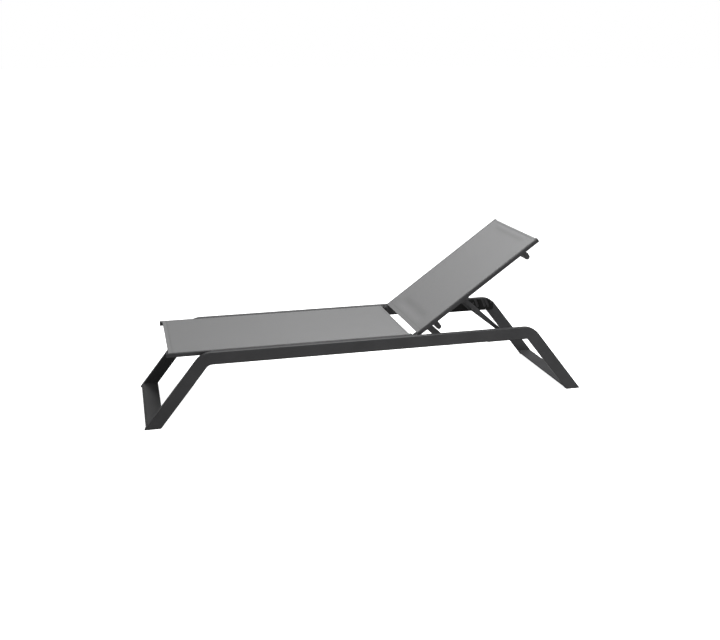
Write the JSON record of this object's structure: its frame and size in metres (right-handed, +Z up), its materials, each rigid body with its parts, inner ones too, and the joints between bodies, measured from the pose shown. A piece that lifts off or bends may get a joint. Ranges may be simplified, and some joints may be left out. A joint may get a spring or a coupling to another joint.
{
  "type": "reclining sun lounger",
  "caption": "Low sun lounger with bent flat-tube side frames, taut mesh slings and a backrest that reclines on a propped, notched rack.",
  "frame": {"origin": "on the floor, under the middle of the lounger's length and width", "axes": "+X towards the head end, +Y towards the lying person's right, +Z up"},
  "size_m": [2.23, 0.606, 0.8045],
  "materials": {
    "frame_paint": "anthracite powder coat, fine satin texture, on aluminium tube",
    "sling_mesh": "plain-woven coated mesh, mid grey, taut",
    "black_plastic": "moulded black plastic, fine spark texture",
    "grey_plastic": "moulded anthracite plastic, fine spark texture",
    "bright_steel": "stainless steel, bright"
  },
  "bodies": {
    "frame": {"foot_floor_bar": "frame_paint", "foot_left_glide": "black_plastic", "foot_right_glide": "black_plastic", "head_floor_bar": "frame_paint", "head_left_glide": "black_plastic", "head_right_glide": "black_plastic", "hinge_beam": "frame_paint", "hinge_nuts": "bright_steel", "hinge_spacers": "bright_steel", "left_hinge_bolt": "frame_paint", "left_rack": "black_plastic", "left_seat_foot_cap": "black_plastic", "left_seat_keder": "black_plastic", "left_seat_rear_cap": "black_plastic", "left_seat_tube": "frame_paint", "left_side_frame": "frame_paint", "rack_screws": "frame_paint", "right_hinge_bolt": "frame_paint", "right_rack": "black_plastic", "right_seat_foot_cap": "black_plastic", "right_seat_keder": "black_plastic", "right_seat_rear_cap": "black_plastic", "right_seat_tube": "frame_paint", "right_side_frame": "frame_paint", "seat_foot_stretcher": "frame_paint", "seat_middle_stretcher": "frame_paint", "seat_rear_stretcher": "frame_paint", "seat_screws": "bright_steel", "seat_sling": "sling_mesh"},
    "backrest": {"back_lower_stretcher": "frame_paint", "back_lower_stretcher_caps": "grey_plastic", "back_screws": "bright_steel", "back_sling": "sling_mesh", "back_upper_stretcher": "frame_paint", "back_upper_stretcher_caps": "grey_plastic", "bracket_screws": "bright_steel", "left_back_hinge_cap": "black_plastic", "left_back_keder": "black_plastic", "left_back_top_cap": "black_plastic", "left_back_tube": "frame_paint", "left_hinge_bush": "black_plastic", "left_prop_bracket": "frame_paint", "left_prop_rivet": "bright_steel", "right_back_hinge_cap": "black_plastic", "right_back_keder": "black_plastic", "right_back_top_cap": "black_plastic", "right_back_tube": "frame_paint", "right_hinge_bush": "black_plastic", "right_prop_bracket": "frame_paint", "right_prop_rivet": "bright_steel"},
    "prop": {"left_prop_arm": "frame_paint", "left_rod_sleeve": "black_plastic", "prop_rod": "frame_paint", "prop_washers": "black_plastic", "right_prop_arm": "frame_paint", "right_rod_sleeve": "black_plastic"}
  },
  "joints": [
    {"name": "back_recline", "type": "hinge", "parent": "frame", "child": "backrest", "pos_m": [0.219, 0, 0.3468], "axis": [0, -1, 0], "range_deg": [-35.7, 11.3]},
    {"name": "prop_swing", "type": "hinge", "parent": "backrest", "child": "prop", "pos_m": [0.47545, 0, 0.50916], "axis": [0, 1, 0], "range_deg": [-74, 23.5]}
  ],
  "couplings": [
    {"joint": "prop_swing", "follows": "back_recline", "ratio": 2.07}
  ]
}
